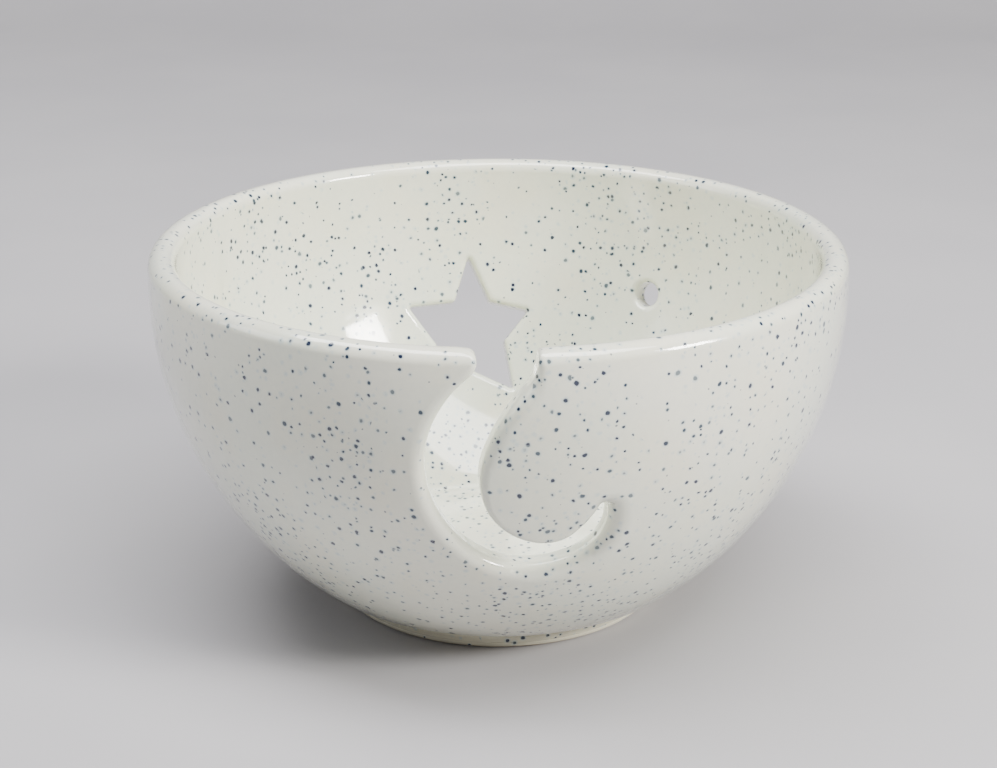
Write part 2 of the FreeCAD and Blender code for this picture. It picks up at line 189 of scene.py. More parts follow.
LIP_SOFTNESS = 1.1
OUTLINE_SPACING = 0.7
CRESCENT = [
    (NOSE_ARC, RIGHT * NOSE_TURN, 1.1),
    (5.5, RIGHT * 48, 2.4),
    (25.6, LEFT * 57, 3.3),
    (30.8, LEFT * 42, 3.7),
    (18.7, LEFT * 69, 5.2),
    (11.6, LEFT * 74, 4.9),
    (0.8, LEFT * 135.5, 2.4),
    (24.2, RIGHT * 20.5, 1.0),
    (8.7, RIGHT * 51, 1.0),
    (15.5, RIGHT * 55.5, 1.3),
    (18.8, RIGHT * 40.5, 2.4),
    (40.8, RIGHT * 23.5, 3.4),
    (9.5, LEFT * 38, 1.4),
    (1.4, 0, 1.1),
    (1.8, RIGHT * 70, 1.1),
]

nose_start = np.array([MOUTH_LEFT - NOSE_ARC * (1 - math.cos(math.radians(NOSE_TURN))),
                       NECK_TOP + NOSE_ARC * math.sin(math.radians(NOSE_TURN))])
crescent_line, crescent_softness, last_heading = walk(
    nose_start, LEFT_NOSE_HEADING, CRESCENT, OUTLINE_SPACING, LIP_SOFTNESS)


def below(line, height):
    """The part of an outline under a height, with a last point exactly on it at either end."""
    result = []
    for here, ahead in zip(line[:-1], line[1:]):
        if here[1] <= height:
            result.append(here)
        if (here[1] - height) * (ahead[1] - height) < 0:
            result.append(here + (ahead - here) * (height - here[1]) / (ahead[1] - here[1]))
    return np.array(result)


softness_along = crescent_line, crescent_softness
crescent_line = below(crescent_line, TOTAL_HEIGHT - 0.004)
print("crescent:", len(crescent_line), "points, mouth ends at", crescent_line[-1].round(1),
      "heading", round(last_heading - 360, 1))


# %% [markdown]
# The star is cut freehand with a pointed knife, square to the wall. Its arms are not equal, because the
# template was pressed on a curved wall. Ten reaches and angles from its centre set its corners, and each
# corner is then replaced by a small arc, as the clay tears and is wiped there. The needle hole is a plain
# circle made by a hollow drill.

# %% The star's and the needle hole's outlines
STAR_CENTRE = np.array([-8.6, 67.3, 43.6])
STAR_TURN = math.radians(7)
STAR_TILT = math.radians(25)
TIP_RADIUS = 0.5
NOTCH_RADIUS = 1.3
STAR_CORNERS = [
    (19.4, 3.5), (9.4, 45), (17.5, 78), (11.0, 113), (21.5, 147),
    (12.0, 178), (21.5, 213), (9.8, 240), (17.0, 290), (7.5, 336),
]
NEEDLE_CENTRE = np.array([39.8, 60.5, 55.0])
NEEDLE_TURN = math.radians(-33.5)
NEEDLE_TILT = math.radians(16.5)
NEEDLE_RADIUS = 3.25


def rounded_corners(corners, radii, spacing):
    """A closed outline through straight sides, with each corner replaced by an arc of its radius."""
    points = []
    count = len(corners)
    for index, corner in enumerate(corners):
        back = corners[index - 1] - corner
        on = corners[(index + 1) % count] - corner
        back, on = back / np.linalg.norm(back), on / np.linalg.norm(on)
        half = math.acos(np.clip(back @ on, -1, 1)) / 2
        radius = radii[index % len(radii)]
        reach = radius / math.tan(half)
        bisector = (back + on) / np.linalg.norm(back + on)
        centre = corner + bisector * radius / math.sin(half)
        first, last = corner + back * reach - centre, corner + on * reach - centre
        sweep = math.pi - 2 * half
        steps = max(5, round(radius * sweep / spacing))
        for step in range(steps + 1):
            share = step / steps
            blend = (math.sin((1 - share) * sweep) * first + math.sin(share * sweep) * last) / math.sin(sweep)
            points.append(centre + blend)
    return np.array(points)


def evenly(points, spacing):
    """Adds points on the long sides of a closed outline, so that no step is much over the spacing."""
    result = []
    for here, ahead in zip(points, np.roll(points, -1, axis=0)):
        count = max(1, round(np.linalg.norm(ahead - here) / spacing))
        result.extend(here + (ahead - here) * step / count for step in range(count))
    return np.array(result)


angles = np.radians([angle for reach, angle in STAR_CORNERS])
reaches = np.array([reach for reach, angle in STAR_CORNERS])
star_corners = np.stack([reaches * np.sin(angles), reaches * np.cos(angles)], axis=1)
star_line = evenly(rounded_corners(star_corners, [TIP_RADIUS, NOTCH_RADIUS], 0.25), OUTLINE_SPACING)
turns = np.linspace(0, 2 * math.pi, 36, endpoint=False)
needle_line = NEEDLE_RADIUS * np.stack([np.sin(turns), np.cos(turns)], axis=1)
print("star:", len(star_line), "points, needle hole:", len(needle_line))


# %% [markdown]
# Each cut-out is its outline, the plane that the outline is drawn on and the direction of the knife. Its
# distance formula is the distance from the outline, negative in the hole. `along_knife` finds where the
# knife's path through one point of the outline enters and leaves the wall.

# %% Cut-outs as distances
def outline_distance(flat, fence):
    """Signed distance of flat points from a closed outline of close-set points, negative inside it."""
    ahead = np.roll(fence, -1, axis=0)
    runs = ahead - fence
    winding = np.sign(np.sum(fence[:, 0] * ahead[:, 1] - ahead[:, 0] * fence[:, 1]))
    away = winding * np.stack([runs[:, 1], -runs[:, 0]], axis=1) / np.linalg.norm(runs, axis=1)[:, None]
    corner_away = away + np.roll(away, 1, axis=0)
    nearest = ((fence ** 2).sum(axis=1) - 2 * flat @ fence.T).argmin(axis=1)
    best, result = np.full(len(flat), np.inf), np.zeros(len(flat))
    for side in (nearest - 1, nearest):
        gap = flat - fence[side]
        share = (gap * runs[side]).sum(axis=1) / (runs[side] ** 2).sum(axis=1)
        gap = gap - np.clip(share, 0, 1)[:, None] * runs[side]
        square = (gap ** 2).sum(axis=1)
        on_corner = (share <= 0) | (share >= 1)
        outward = np.where(on_corner[:, None], corner_away[nearest], away[side])
        signed = np.where((gap * outward).sum(axis=1) < 0, -1, 1) * np.sqrt(square)
        result = np.where(square < best, signed, result)
        best = np.minimum(best, square)
    return result


FENCE_ABOVE_LIP = 12
FENCE_SIDE = 8
KNIFE_IN, KNIFE_OUT = -26.0, 14.0
KNIFE_STEPS = 161
HALVINGS = 45


class CutOut:
    """An outline pushed through the wall, with its own softness at the outer and the inner edge."""

    def __init__(self, name, line, closed, place, turn, tilt):
        self.name, self.line, self.closed, self.place = name, line, closed, place
        self.across = np.array([math.cos(turn), math.sin(turn), 0])
        level = np.array([-math.sin(turn), math.cos(turn), 0])
        side = 1 if place[1] > 0 else -1
        self.out = side * level * math.cos(tilt) - np.array([0, 0, math.sin(tilt)])
        self.up = side * level * math.sin(tilt) + np.array([0, 0, math.cos(tilt)])
        if closed:
            self.fence = line
        else:
            lid = TOTAL_HEIGHT + FENCE_ABOVE_LIP
            left, right = line[0] + [-FENCE_SIDE, 3], line[-1] + [FENCE_SIDE, 3]
            around = np.vstack([[left[0], lid], left, line, right, [right[0], lid]])
            self.fence = evenly(around, OUTLINE_SPACING)

    def flat(self, points):
        offset = points - self.place
        return np.stack([offset @ self.across, offset @ self.up], axis=-1)

    def solid(self, flat_points, depth=0.0):
        on_plane = self.place + flat_points[..., :1] * self.across + flat_points[..., 1:] * self.up
        return on_plane + np.asarray(depth)[..., None] * self.out

    def distance(self, points):
        return outline_distance(self.flat(points), self.fence)

    def along_knife(self, flat_points):
        """Where the knife's path leaves the clay outside and inside, for each point of the outline."""
        reach = np.linspace(KNIFE_IN, KNIFE_OUT, KNIFE_STEPS)
        trial = self.solid(flat_points[:, None, :], reach[None, :])
        clay = turned_distance(trial)
        deepest = clay.argmin(axis=1)
        middle = reach[deepest]
        ends = []
        for far in (KNIFE_OUT, KNIFE_IN):
            near, beyond = middle.copy(), np.full(len(middle), far)
            if far < 0:
                step = deepest[:, None] - np.arange(KNIFE_STEPS)[None, :]
                clear = np.where((clay > 0) & (step > 0), step, KNIFE_STEPS).min(axis=1)
                beyond = reach[np.maximum(deepest - clear, 0)]
            for _ in range(HALVINGS):
                half = (near + beyond) / 2
                in_clay = turned_distance(self.solid(flat_points, half)) < 0
                near, beyond = np.where(in_clay, half, near), np.where(in_clay, beyond, half)
            ends.append(self.solid(flat_points, (near + beyond) / 2))
        return ends


crescent = CutOut("crescent", crescent_line, False, np.array([0, SLOT_PLANE_Y, 0]), SLOT_LEAN, 0.0)
star = CutOut("star", star_line, True, STAR_CENTRE, STAR_TURN, STAR_TILT)
needle = CutOut("needle hole", needle_line, True, NEEDLE_CENTRE, NEEDLE_TURN, NEEDLE_TILT)
for cut in (star, needle):
    outer, inner = cut.along_knife(cut.line)
    depth = np.linalg.norm(outer - inner, axis=1)
    print(cut.name, "goes through", depth.min().round(2), "to", depth.max().round(2), "mm of clay")


# %% [markdown]
# ## Sponging the edges
#
# A wet sponge rounds every edge of a cut-out, and it rounds the outer edge more, because the potter can
# reach it and the yarn rubs there. Round the star it is the other way about: its inner edge is the one
# that fingers reach. How soft each edge is becomes a radius that changes from place to place.

# %% How soft each edge is
INNER_SOFTNESS = 0.8
STAR_SOFTNESS = (1.1, 1.6)


def ease(value, low, high):
    """0 below low, 1 above high, and a smooth step between them."""
    share = np.clip((value - low) / (high - low), 0, 1)
    return share * share * (3 - 2 * share)


def softness(cut, points):
    """The rounding radius near each point: the outer edge's, changing to the inner edge's inside."""
    through = -outside_distance(np.hypot(points[..., 0], points[..., 1]), points[..., 2])
    if cut is not crescent:
        outer, inner = STAR_SOFTNESS
        return outer + (inner - outer) * ease(through, 2.0, 4.4)
    line, along = softness_along
    flat = cut.flat(points)
    near = ((line ** 2).sum(axis=1) - 2 * flat @ line.T).argmin(axis=-1)
    outer = along[near]
    return outer + (INNER_SOFTNESS - outer) * ease(through, 3.2, 5.8)


def pot_distance(points, cut=None):
    turned = turned_distance(points)
    if cut is None:
        return turned
    return soft_max(turned, -cut.distance(points), softness(cut, points))


def steepest(points, cut=None, step=0.02):
    """The direction in which the distance from the clay grows, which is the surface's normal."""
    slopes = []
    for axis in np.eye(3) * step:
        slopes.append((pot_distance(points + axis, cut) - pot_distance(points - axis, cut)) / (2 * step))
    return np.stack(slopes, axis=-1)


def settle(points, cut=None, rounds=4):
    """Moves points along the normal until they lie on the clay's surface."""
    for _ in range(rounds):
        slope = steepest(points, cut)
        square = np.maximum((slope ** 2).sum(axis=1), 0.05)
        points = points - slope * (pot_distance(points, cut) / square)[:, None]
    return points


# %% [markdown]
# ## A flat pattern of the whole wall
#
# A revolved mesh is easy, but cutting holes in it with a boolean leaves long splinters round the holes,
# and a glossy glaze shows every one of them. So the wall is laid out flat first, like a dressmaker's
# pattern: across is the angle round the pot and up is the way along the section, from the belly up the
# outside, over the lip and down the inside. The cut-outs become closed outlines on that sheet. Rows of
# points run beside each outline, close together where the edge will be rounded, and a Delaunay
# triangulation joins them to an even grid everywhere else.

# %% The section as a line, and where a point lies along it
def section_line():
    heights = np.linspace(WALL_BOTTOM, TOTAL_HEIGHT - LIP_ROUND, 400)
    shoulder_z = belly_centre[1] - BELLY_ARC * math.sin(SHOULDER_ANGLE)
    centre = np.where((heights < shoulder_z)[:, None], under_centre, belly_centre)
    radius = np.where(heights < shoulder_z, UNDER_ARC, BELLY_ARC)
    outside = np.stack([centre[:, 0] + np.sqrt(radius ** 2 - (heights - centre[:, 1]) ** 2), heights], axis=1)
    inside_r = inner_centre[0] + np.sqrt(INNER_ARC ** 2 - (heights - inner_centre[1]) ** 2)
    inside = np.stack([inside_r, heights], axis=1)[::-1]
    roll = np.radians(np.linspace(0, 90, 40))[1:]
    outer_round = np.stack([outside[-1][0] - LIP_ROUND * (1 - np.cos(roll)),
                            heights[-1] + LIP_ROUND * np.sin(roll)], axis=1)
    inner_round = np.stack([inside[0][0] + LIP_ROUND * (1 - np.cos(roll)),
                            heights[-1] + LIP_ROUND * np.sin(roll)], axis=1)[::-1]
    return np.vstack([outside, outer_round, inner_round, inside])


SECTION = section_line()
SECTION_RUN = np.concatenate([[0], np.cumsum(np.linalg.norm(np.diff(SECTION, axis=0), axis=1))])
UNROLL_RADIUS = 80.0
lip_index = int(SECTION[:, 1].argmax())


def run_at_height(height, inside):
    part = slice(lip_index, None) if inside else slice(0, lip_index + 1)
    heights, runs = SECTION[part, 1], SECTION_RUN[part]
    order = np.argsort(heights)
    return float(np.interp(height, heights[order], runs[order]))


def unroll(points):
    """Pattern coordinates of points on the wall: angle round the pot, and run along the section."""
    r, z = np.hypot(points[:, 0], points[:, 1]), points[:, 2]
    gaps = (SECTION[None, :, 0] - r[:, None]) ** 2 + (SECTION[None, :, 1] - z[:, None]) ** 2
    near = np.clip(gaps.argmin(axis=1), 1, len(SECTION) - 2)
    before, after = SECTION[near - 1], SECTION[near + 1]
    along = after - before
    share = ((r - before[:, 0]) * along[:, 0] + (z - before[:, 1]) * along[:, 1]) / (along ** 2).sum(axis=1)
    run = SECTION_RUN[near - 1] + np.clip(share, 0, 1) * (SECTION_RUN[near + 1] - SECTION_RUN[near - 1])
    return np.stack([np.arctan2(points[:, 1], points[:, 0]) * UNROLL_RADIUS, run], axis=1)


rim_run_outside, rim_run_inside = run_at_height(RIM_BOTTOM, False), run_at_height(RIM_BOTTOM, True)
print("the section is", SECTION_RUN[-1].round(1), "mm long, and the rim lies from",
      round(rim_run_outside, 1), "to", round(rim_run_inside, 1))


# %% Lay the grid, the outlines and the rows beside them
COLUMNS = 240
WALL_ROW = 2.3
LIP_ROW = 0.75
BESIDE_EDGE = [0.3, 0.65, 1.0, 1.5, 2.2]


def rows_between(low, high, spacing):
    return np.linspace(low, high, max(2, round((high - low) / spacing) + 1))


row_runs = np.concatenate([
    rows_between(0, rim_run_outside, WALL_ROW),
    rows_between(rim_run_outside, rim_run_inside, LIP_ROW)[1:],
    rows_between(rim_run_inside, SECTION_RUN[-1], WALL_ROW)[1:],
])
sheet_width = 2 * math.pi * UNROLL_RADIUS
column_places = (np.arange(COLUMNS + 1) / COLUMNS - 0.5) * sheet_width


class Edge:
    """One closed edge of a cut-out on the sheet, with its corners in the round and in the pattern."""

    def __init__(self, cut, corners):
        self.cut, self.corners = cut, corners
        self.flat = unroll(corners)
        self.soft = softness(cut, corners)
        ahead = np.roll(self.flat, -1, axis=0) - np.roll(self.flat, 1, axis=0)
        x, y = self.flat.T
        area = np.sum(x * np.roll(y, -1) - np.roll(x, -1) * y)
        away = np.stack([ahead[:, 1], -ahead[:, 0]], axis=1) * np.sign(area)
        self.away = away / np.linalg.norm(away, axis=1)[:, None]

    def rows_beside(self):
        return [self.flat + self.away * (self.soft * share)[:, None] for share in BESIDE_EDGE]


def knife_columns(cut, outer, inner):
    """Points along the knife's path from the outer to the inner edge, closer together near both."""
    length = np.linalg.norm(inner - outer, axis=1)
    near_outer = np.minimum(softness(cut, outer) * 1.3, length * 0.42)
    near_inner = np.minimum(softness(cut, inner) * 1.3, length * 0.3)
    places = [near_outer * share for share in (0, 0.2, 0.4, 0.6, 0.8, 1)]
    places += [(near_outer + length - near_inner) / 2]
    places += [length - near_inner * share for share in (1, 0.67, 0.33, 0)]
    return np.stack([outer + (inner - outer) * (place / length)[:, None] for place in places], axis=1)


edges, cut_faces = [], []
for cut in (crescent, star, needle):
    outer, inner = cut.along_knife(cut.line)
    columns = knife_columns(cut, outer, inner)
    if cut.closed:
        edges += [Edge(cut, outer), Edge(cut, inner)]
    else:
        last_column, first_column = columns[-1, 1:-1], columns[0, -2:0:-1]
        edges.append(Edge(cut, np.vstack([outer, last_column, inner[::-1], first_column])))
    cut_faces.append((cut, columns))
print("edges on the sheet:", [len(edge.flat) for edge in edges], "points")


class Sieve:
    """Keeps points that stand clear of the ones already kept, so that no triangle is too small."""

    def __init__(self, mesh_size):
        self.mesh_size, self.bins, self.kept = mesh_size, {}, []

    def offer(self, point, clearance):
        column, row = int(point[0] // self.mesh_size), int(point[1] // self.mesh_size)
        for x in range(column - 1, column + 2):
            for y in range(row - 1, row + 2):
                for other in self.bins.get((x, y), ()):
                    if (other[0] - point[0]) ** 2 + (other[1] - point[1]) ** 2 < clearance ** 2:
                        return False
        self.keep(point)
        return True

    def keep(self, point):
        place = (int(point[0] // self.mesh_size), int(point[1] // self.mesh_size))
        self.bins.setdefault(place, []).append(tuple(point))
        self.kept.append(tuple(point))


def outside_all(flat):
    """Distance from the nearest hole's edge for each pattern point, negative in a hole."""
    clear = np.full(len(flat), np.inf)
    for edge in edges:
        low, high = edge.flat.min(axis=0) - 8, edge.flat.max(axis=0) + 8
        near = np.all((flat > low) & (flat < high), axis=1)
        if near.any():
            clear[near] = np.minimum(clear[near], outline_distance(flat[near], edge.flat))
    return clear


sieve = Sieve(1.2)
for edge in edges:
    for point in edge.flat:
        sieve.keep(point)
edge_total = len(sieve.kept)
for edge in edges:
    for share, row in zip(BESIDE_EDGE, edge.rows_beside()):
        clear = outside_all(row)
        for point, soft, gap in zip(row, edge.soft, clear):
            if gap > 0.2 * soft * share and point[1] > 0:
                sieve.offer(point, 0.3 * soft if share < 1.2 else 0.45 * soft)
grid = np.array([(x, y) for y in row_runs for x in column_places[:-1]])
clear = outside_all(grid)
for point, gap in zip(grid, clear):
    if gap > 0.5:
        sieve.offer(point, 1.1 if gap < 6 else 0.1)
pattern = np.array(sieve.kept)
print("pattern:", len(pattern), "points, of which", edge_total, "on the edges")


# %% [markdown]
# The triangulation joins all these points. The outlines are given to it as fixed lines, so no triangle
# crosses them. Triangles that lie in a hole are dropped, and the sheet's right edge is joined to its left
# edge, which closes the pattern into a tube. That seam is on the bowl's left side, far from every cut-out.

# %% Triangulate the sheet
def ring_pairs(first, count):
    return [(first + step, first + (step + 1) % count) for step in range(count)]


fixed_lines, start = [], 0
for edge in edges:
    fixed_lines += ring_pairs(start, len(edge.flat))
    start += len(edge.flat)
left_side = np.flatnonzero(abs(pattern[:, 0] - column_places[0]) < 1e-9)
twin_of = {len(pattern) + order: int(index) for order, index in enumerate(left_side)}
sheet_points = np.vstack([pattern, pattern[left_side] + [sheet_width, 0]])

result = delaunay_2d_cdt([Vector(point) for point in sheet_points], fixed_lines, [], 0, 1e-4, True)
made_points, made_triangles, source_of = result[0], result[2], result[3]
source = [sources[0] if sources else -1 for sources in source_of]
made_flat = np.array([point[:] for point in made_points])
corner_ids = np.array(made_triangles)
middles = made_flat[corner_ids].mean(axis=1)
kept = outside_all(middles) > 0
sheet_triangles = []
for triangle, keep in zip(corner_ids, kept):
    if keep:
        ids = [source[corner] for corner in triangle]
        ids = [twin_of.get(index, index) for index in ids]
        if min(ids) >= 0 and len(set(ids)) == 3:
            sheet_triangles.append(ids)
print("sheet:", len(sheet_triangles), "triangles, points without a source:", source.count(-1))


# %% [markdown]
# ## Turning the pattern on the wheel
#
# A small node tree plays the potter's wheel. It takes a flat pattern and a section curve, and moves every
# point of the pattern to its place on the section, swung round the axis by its angle. The wall, the floor
# and the foot all go through the same tree with their own sections, so a change to a section needs no
# other edit.

# %% The wheel as a node tree
def make_wheel_tree():
    tree = bpy.data.node_groups.new("turn_on_wheel", "GeometryNodeTree")
    sockets = tree.interface
    sockets.new_socket("Pattern", in_out="INPUT", socket_type="NodeSocketGeometry")
    sockets.new_socket("Section", in_out="INPUT", socket_type="NodeSocketObject")
    sockets.new_socket("Unroll radius", in_out="INPUT", socket_type="NodeSocketFloat")
    sockets.new_socket("Turned", in_out="OUTPUT", socket_type="NodeSocketGeometry")
    nodes, links = tree.nodes, tree.links

    def node(kind, **settings):
        made = nodes.new(kind)
        for key, value in settings.items():
            setattr(made, key, value)
        return made

    def math_node(operation, first, second=None):
        made = node("ShaderNodeMath", operation=operation)
        links.new(first, made.inputs[0])
        if second is not None:
            links.new(second, made.inputs[1])
        return made.outputs[0]

    given = node("NodeGroupInput")
    place = node("ShaderNodeSeparateXYZ")
    links.new(node("GeometryNodeInputPosition").outputs[0], place.inputs[0])
    section = node("GeometryNodeObjectInfo", transform_space="ORIGINAL")
    links.new(given.outputs["Section"], section.inputs["Object"])
    sample = node("GeometryNodeSampleCurve", mode="LENGTH", use_all_curves=True)
    links.new(section.outputs["Geometry"], sample.inputs["Curves"])
    links.new(place.outputs["Y"], sample.inputs["Length"])
    on_section = node("ShaderNodeSeparateXYZ")
    links.new(sample.outputs["Position"], on_section.inputs[0])
    angle = math_node("DIVIDE", place.outputs["X"], given.outputs["Unroll radius"])
    swung = node("ShaderNodeCombineXYZ")
    links.new(math_node("MULTIPLY", on_section.outputs["X"], math_node("COSINE", angle)), swung.inputs["X"])
    links.new(math_node("MULTIPLY", on_section.outputs["X"], math_node("SINE", angle)), swung.inputs["Y"])
    links.new(on_section.outputs["Z"], swung.inputs["Z"])
    metres = node("ShaderNodeVectorMath", operation="SCALE")
    metres.inputs["Scale"].default_value = MM
    links.new(swung.outputs[0], metres.inputs[0])
    move = node("GeometryNodeSetPosition")
    links.new(given.outputs["Pattern"], move.inputs["Geometry"])
    links.new(metres.outputs[0], move.inputs["Position"])
    merge = node("GeometryNodeMergeByDistance")
    merge.inputs["Distance"].default_value = 1e-6
    links.new(move.outputs[0], merge.inputs["Geometry"])
    realize = node("GeometryNodeRealizeInstances")
    links.new(merge.outputs[0], realize.inputs[0])
    links.new(realize.outputs[0], node("NodeGroupOutput").inputs[0])
    return tree


wheel_tree = make_wheel_tree()


def turn(name, flat_points, faces, section):
    """Runs a pattern through the wheel tree and returns the plain mesh, in metres."""
    curve = bpy.data.curves.new(name + "_section", "CURVE")
    curve.dimensions = "3D"
    spline = curve.splines.new("POLY")
    spline.points.add(len(section) - 1)
    for point, (r, z) in zip(spline.points, section):
        point.co = (r, 0, z, 1)
    section_object = bpy.data.objects.new(name + "_section", curve)
    mesh = bpy.data.meshes.new(name + "_pattern")
    mesh.from_pydata([(x, y, 0) for x, y in flat_points], [], faces)
    pattern_object = bpy.data.objects.new(name + "_pattern", mesh)
    for helper in (section_object, pattern_object):
        bpy.context.scene.collection.objects.link(helper)
    wheel = pattern_object.modifiers.new("wheel", "NODES")
    wheel.node_group = wheel_tree
    values = {"Section": section_object, "Unroll radius": UNROLL_RADIUS}
    for item in wheel_tree.interface.items_tree:
        if item.in_out == "INPUT" and values.get(item.name) is not None:
            wheel[item.identifier] = values[item.name]
    pattern_object.update_tag()
    scene_now = bpy.context.evaluated_depsgraph_get()
    turned = bpy.data.meshes.new_from_object(pattern_object.evaluated_get(scene_now))
    for helper in (section_object, pattern_object):
        bpy.data.objects.remove(helper)
    return turned


print("wheel tree:", len(wheel_tree.nodes), "nodes")


# %% Turn the wall and find each point on it
wall_mesh = turn("wall", pattern, sheet_triangles, SECTION)
wall_points = np.empty(len(wall_mesh.vertices) * 3)
wall_mesh.vertices.foreach_get("co", wall_points)
wall_points = wall_points.reshape(-1, 3) / MM
bpy.data.meshes.remove(wall_mesh)
start = 0
for edge in edges:
    wall_points[start:start + len(edge.corners)] = edge.corners
    start += len(edge.corners)
print("turned", len(wall_points), "points of", len(pattern))


# %% [markdown]
# The knife leaves a band of clay between the outer and the inner outline of each cut-out. Columns of
# points along the knife's path cover it. The columns share their end points with the sheet, so the wall
# and its cut faces are one closed skin.

# %% Cover the cut faces
def covered(cut, columns, ids):
    """Quads between neighbouring columns, wound so that their normals point out of the clay."""
    count, rows = ids.shape
    quads = []
    for index in range(count if cut.closed else count - 1):
        after = (index + 1) % count
        for row in range(rows - 1):
            quads.append([ids[index, row], ids[index, row + 1], ids[after, row + 1], ids[after, row]])
    here, beside = columns[count // 2, 3], columns[count // 2 + 1, 3]
    normal = np.cross(columns[count // 2, 4] - here, beside - here)
    into_clay = cut.distance((here + normal / np.linalg.norm(normal) * 0.1)[None])[0] > 0
    return [quad[::-1] for quad in quads] if into_clay else quads


skin_faces, extra_points = [tuple(ids) for ids in sheet_triangles], []
next_id, start = len(pattern), 0
for cut, columns in cut_faces:
    count, rows = columns.shape[:2]
    between = rows - 2
    ids = np.zeros((count, rows), int)
    ids[:, 0] = start + np.arange(count)
    if cut.closed:
        ids[:, -1] = start + count + np.arange(count)
        fresh = slice(0, count)
        start += 2 * count
    else:
        ids[-1, 1:-1] = start + count + np.arange(between)
        ids[:, -1] = start + count + between + np.arange(count)[::-1]
        ids[0, -2:0:-1] = start + 2 * count + between + np.arange(between)
        fresh = slice(1, count - 1)
        start += 2 * count + 2 * between
    size = ids[fresh, 1:-1].size
    ids[fresh, 1:-1] = (next_id + np.arange(size)).reshape(-1, between)
    next_id += size
    extra_points.append(columns[fresh, 1:-1].reshape(-1, 3))
    quads = covered(cut, columns, ids)
    skin_faces += [tuple(int(index) for index in quad) for quad in quads]
    print(cut.name, "has", len(quads), "quads on its cut face")
skin_points = np.vstack([wall_points] + extra_points)


# %% [markdown]
# Now the sponge. Every point near a cut-out slides along the distance formula's slope until it lies on
# the rounded surface. Sliding crowds the points at a sharp edge, so between slides each point also moves
# halfway to the middle of its neighbours, which spreads them evenly again.

# %% Sponge the edges
SPONGE_REACH = 6.0
FACING_THE_CUT = 20
SPONGE_ROUNDS = 12

neighbours = np.array(sorted({tuple(sorted((ids[step - 1], ids[step])))
                              for ids in skin_faces for step in range(len(ids))}))
for cut in (crescent, star, needle):
    facing = skin_points @ cut.out > FACING_THE_CUT
    near = np.zeros(len(skin_points), bool)
    near[facing] = abs(cut.distance(skin_points[facing])) < SPONGE_REACH
    lines = neighbours[near[neighbours].any(axis=1)]
    ends = np.concatenate([lines, lines[:, ::-1]])
    valence = np.maximum(np.bincount(ends[:, 0], minlength=len(skin_points)), 1)[:, None]
    skin_points[near] = settle(skin_points[near], cut)
    for _ in range(SPONGE_ROUNDS):
        sums = np.zeros_like(skin_points)
        np.add.at(sums, ends[:, 0], skin_points[ends[:, 1]])
        middle = (skin_points[near] + (sums / valence)[near]) / 2
        skin_points[near] = settle(middle, cut, 1)
    skin_points[near] = settle(skin_points[near], cut, 3)
    print(cut.name, "sponged:", int(near.sum()), "points, largest miss",
          f"{abs(pot_distance(skin_points[near], cut)).max():.4f} mm")


def clay_normals(points):
    """The outward normal of the finished clay at each point."""
    normals = steepest(points)
    for cut in (crescent, star, needle):
        near = np.flatnonzero(points @ cut.out > FACING_THE_CUT)
        near = near[abs(cut.distance(points[near])) < SPONGE_REACH]
        normals[near] = steepest(points[near], cut)
    return normals / np.linalg.norm(normals, axis=1)[:, None]


# %% [markdown]
# ## Parting the skin into the pot's zones
#
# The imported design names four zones: foot ring, floor, wall and rim. The skin is cut level where the rim
# begins, and each part is closed by a flat cap, so that every piece is a solid in its own right. The caps
# lie face to face inside the clay and are never seen.

# %% Part the skin and close each part
def open_sides(faces):
    sides = {}
    for ids in faces:
        for first, second in zip(ids, ids[1:] + ids[:1]):
            if sides.pop((second, first), None) is None:
                sides[(first, second)] = True
    return list(sides)


def cap(points, sides, up):
    """Flat triangles that close the open sides at one height."""
    here = sorted({index for side in sides for index in side})
    order = {index: place for place, index in enumerate(here)}
    lines = [(order[first], order[second]) for first, second in sides]
    flat = [Vector(points[index, :2]) for index in here]
    made, _, triangles, sources = delaunay_2d_cdt(flat, lines, [], 0, 1e-6, True)[:4]
    middles = np.array([[made[corner][:] for corner in triangle] for triangle in triangles]).mean(axis=1)
    starts, ends = points[[side[0] for side in sides], :2], points[[side[1] for side in sides], :2]
    crossings = np.zeros(len(middles), int)
    for start, end in zip(starts, ends):
        passes = (start[1] > middles[:, 1]) != (end[1] > middles[:, 1])
        at = start[0] + (middles[:, 1] - start[1]) * (end[0] - start[0]) / ((end[1] - start[1]) or 1)
        crossings += passes & (middles[:, 0] < at)
    result = []
    for triangle, count in zip(triangles, crossings):
        if count % 2:
            ids = tuple(here[sources[corner][0]] for corner in triangle)
            first, second, third = points[list(ids)]
            rises = np.cross(second - first, third - first)[2] > 0
            result.append(ids if rises == up else ids[::-1])
    return result


def make_piece(name, points, faces, caps):
    """A closed piece from skin faces and flat caps, given as (faces, normal) pairs."""
    every = list(faces) + [ids for cap_faces, normal in caps for ids in cap_faces]
    used = sorted({index for ids in every for index in ids})
    order = {index: place for place, index in enumerate(used)}
    normals = dict(zip(used, clay_normals(points[used])))
    mesh = bpy.data.meshes.new(name)
    mesh.from_pydata((points[used] * MM).tolist(), [], [[order[index] for index in ids] for ids in every])
    mesh.shade_smooth()
    corner_normals = [tuple(normals[index]) for ids in faces for index in ids]
    for cap_faces, normal in caps:
        corner_normals += [normal for ids in cap_faces for index in ids]
    mesh.normals_split_custom_set(corner_normals)
    piece = bpy.data.objects.new(name, mesh)
    bpy.context.scene.collection.objects.link(piece)
    print(name, "has", len(mesh.polygons), "faces and", len(open_sides(every)), "open sides")
    return piece


